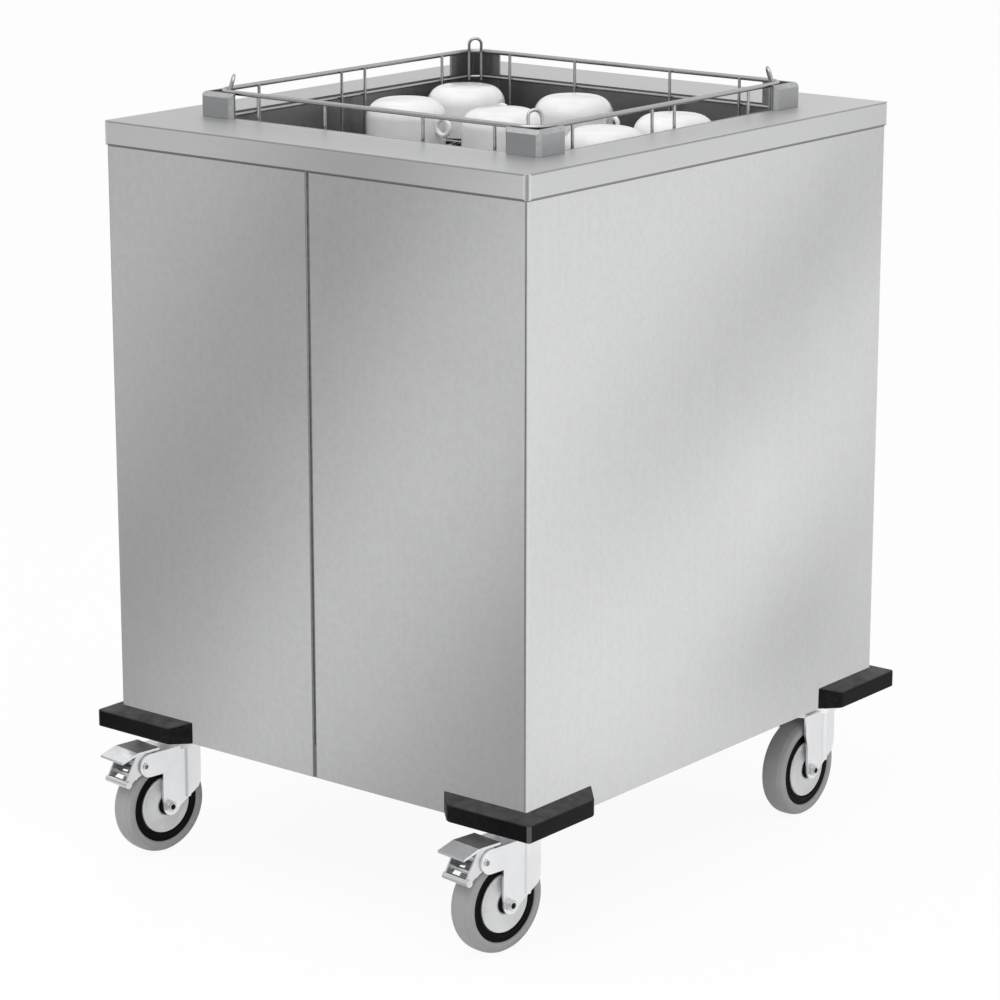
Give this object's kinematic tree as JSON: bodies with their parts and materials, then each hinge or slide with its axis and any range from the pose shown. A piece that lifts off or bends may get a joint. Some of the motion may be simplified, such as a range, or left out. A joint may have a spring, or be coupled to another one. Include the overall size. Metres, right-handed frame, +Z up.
{
  "type": "basket dispenser cart",
  "caption": "Closed steel cart on swivel casters with corner bumpers; a sprung platform in its square well lifts a wire basket of cups to deck height.",
  "frame": {"origin": "on the floor, at the middle of the cart's bounding box", "axes": "+Z up, -Y towards the side with the brake pedals and the joint line, +X towards the cart's right side as seen from the front"},
  "size_m": [0.689, 0.802, 0.97],
  "materials": {
    "steel_shell": "brushed stainless sheet, fine grain",
    "steel_deck": "brushed stainless sheet, fine grain",
    "steel_guide": "satin stainless",
    "steel_frame": "bright zinc plated",
    "steel_zinc": "bright zinc plated, pressed",
    "steel_bolt": "zinc plated",
    "spring_steel": "oiled spring wire",
    "wire_steel": "electropolished wire",
    "platform_steel": "brushed stainless sheet",
    "roller_nylon": "natural nylon",
    "bumper_rubber": "matt black rubber",
    "tyre_rubber": "grey non-marking rubber",
    "rim_nylon": "black nylon",
    "cover_plastic": "pale grey satin disc",
    "porcelain": "white glazed porcelain"
  },
  "bodies": {
    "cabinet": {"base_frame": "steel_frame", "floor_pan": "steel_frame", "shell_left": "steel_shell", "shell_right": "steel_shell", "top_deck": "steel_deck", "posts": "steel_frame", "guides": "steel_guide", "beams": "steel_frame", "rails": "steel_frame", "bumper_fl": "bumper_rubber", "bumper_fr": "bumper_rubber", "bumper_rl": "bumper_rubber", "bumper_rr": "bumper_rubber", "caster_plates": "steel_zinc", "fasteners": "steel_bolt", "spring_fl": "spring_steel", "spring_fr": "spring_steel", "spring_rl": "spring_steel", "spring_rr": "spring_steel"},
    "lift": {"platform_tray": "platform_steel", "carriage_front": "steel_frame", "carriage_rear": "steel_frame"},
    "basket": {"basket_rings": "wire_steel", "basket_uprights": "wire_steel", "basket_loops": "wire_steel", "basket_floor": "wire_steel", "basket_cross": "wire_steel", "cup_a": "porcelain", "cup_b": "porcelain", "cup_c": "porcelain", "cup_d": "porcelain", "cup_e": "porcelain", "cup_f": "porcelain"},
    "rollers_front_upper": {"rollers_front_upper": "roller_nylon"},
    "rollers_front_lower": {"rollers_front_lower": "roller_nylon"},
    "rollers_rear_upper": {"rollers_rear_upper": "roller_nylon"},
    "rollers_rear_lower": {"rollers_rear_lower": "roller_nylon"},
    "caster_fl": {"fork_fl": "steel_zinc", "axle_fl": "steel_bolt"},
    "wheel_fl": {"rim_fl": "rim_nylon", "tyre_fl": "tyre_rubber", "cover_fl": "cover_plastic"},
    "pedal_fl": {"pedal_fl": "steel_zinc"},
    "caster_fr": {"fork_fr": "steel_zinc", "axle_fr": "steel_bolt"},
    "wheel_fr": {"rim_fr": "rim_nylon", "tyre_fr": "tyre_rubber", "cover_fr": "cover_plastic"},
    "pedal_fr": {"pedal_fr": "steel_zinc"},
    "caster_rl": {"fork_rl": "steel_zinc", "axle_rl": "steel_bolt"},
    "wheel_rl": {"rim_rl": "rim_nylon", "tyre_rl": "tyre_rubber", "cover_rl": "cover_plastic"},
    "caster_rr": {"fork_rr": "steel_zinc", "axle_rr": "steel_bolt"},
    "wheel_rr": {"rim_rr": "rim_nylon", "tyre_rr": "tyre_rubber", "cover_rr": "cover_plastic"}
  },
  "joints": [
    {"name": "platform_travel", "type": "slide", "parent": "cabinet", "child": "lift", "axis": [0, 0, -1], "range_m": [0, 0.42], "stiffness_N_per_m": 3600, "springref_m": -0.05, "deforming": ["spring_fl", "spring_fr", "spring_rl", "spring_rr"]},
    {"name": "basket_lift_off", "type": "slide", "parent": "lift", "child": "basket", "axis": [0, 0, 1], "range_m": [0, 0.15]},
    {"name": "rollers_front_upper_turn", "type": "hinge", "parent": "lift", "child": "rollers_front_upper", "pos_m": [0, -0.28853, 0.823], "axis": [1, 0, 0], "range_deg": [-1800, 1800]},
    {"name": "rollers_front_lower_turn", "type": "hinge", "parent": "lift", "child": "rollers_front_lower", "pos_m": [0, -0.28853, 0.669], "axis": [1, 0, 0], "range_deg": [-1800, 1800]},
    {"name": "rollers_rear_upper_turn", "type": "hinge", "parent": "lift", "child": "rollers_rear_upper", "pos_m": [0, 0.32647, 0.823], "axis": [1, 0, 0], "range_deg": [-1800, 1800]},
    {"name": "rollers_rear_lower_turn", "type": "hinge", "parent": "lift", "child": "rollers_rear_lower", "pos_m": [0, 0.32647, 0.669], "axis": [1, 0, 0], "range_deg": [-1800, 1800]},
    {"name": "caster_fl_swivel", "type": "hinge", "parent": "cabinet", "child": "caster_fl", "pos_m": [-0.272, -0.28903, 0.135], "axis": [0, 0, 1], "continuous": true},
    {"name": "wheel_fl_roll", "type": "hinge", "parent": "caster_fl", "child": "wheel_fl", "pos_m": [-0.27696, -0.32671, 0.0625], "axis": [0.9914, -0.1305, 0], "continuous": true},
    {"name": "brake_fl_press", "type": "hinge", "parent": "caster_fl", "child": "pedal_fl", "pos_m": [-0.28166, -0.3624, 0.1225], "axis": [0.9914, -0.1305, 0], "range_deg": [0, 8]},
    {"name": "caster_fr_swivel", "type": "hinge", "parent": "cabinet", "child": "caster_fr", "pos_m": [0.272, -0.28903, 0.135], "axis": [0, 0, 1], "continuous": true},
    {"name": "wheel_fr_roll", "type": "hinge", "parent": "caster_fr", "child": "wheel_fr", "pos_m": [0.26704, -0.32671, 0.0625], "axis": [0.9914, -0.1305, 0], "continuous": true},
    {"name": "brake_fr_press", "type": "hinge", "parent": "caster_fr", "child": "pedal_fr", "pos_m": [0.26234, -0.3624, 0.1225], "axis": [0.9914, -0.1305, 0], "range_deg": [0, 8]},
    {"name": "caster_rl_swivel", "type": "hinge", "parent": "cabinet", "child": "caster_rl", "pos_m": [-0.272, 0.32697, 0.135], "axis": [0, 0, 1], "continuous": true},
    {"name": "wheel_rl_roll", "type": "hinge", "parent": "caster_rl", "child": "wheel_rl", "pos_m": [-0.272, 0.28897, 0.0625], "axis": [1, 0, 0], "continuous": true},
    {"name": "caster_rr_swivel", "type": "hinge", "parent": "cabinet", "child": "caster_rr", "pos_m": [0.272, 0.32697, 0.135], "axis": [0, 0, 1], "continuous": true},
    {"name": "wheel_rr_roll", "type": "hinge", "parent": "caster_rr", "child": "wheel_rr", "pos_m": [0.272, 0.28897, 0.0625], "axis": [1, 0, 0], "continuous": true}
  ],
  "couplings": [
    {"joint": "rollers_front_upper_turn", "follows": "platform_travel", "rad_per_m": 71.429},
    {"joint": "rollers_front_lower_turn", "follows": "platform_travel", "rad_per_m": 71.429},
    {"joint": "rollers_rear_upper_turn", "follows": "platform_travel", "rad_per_m": 71.429},
    {"joint": "rollers_rear_lower_turn", "follows": "platform_travel", "rad_per_m": 71.429}
  ]
}
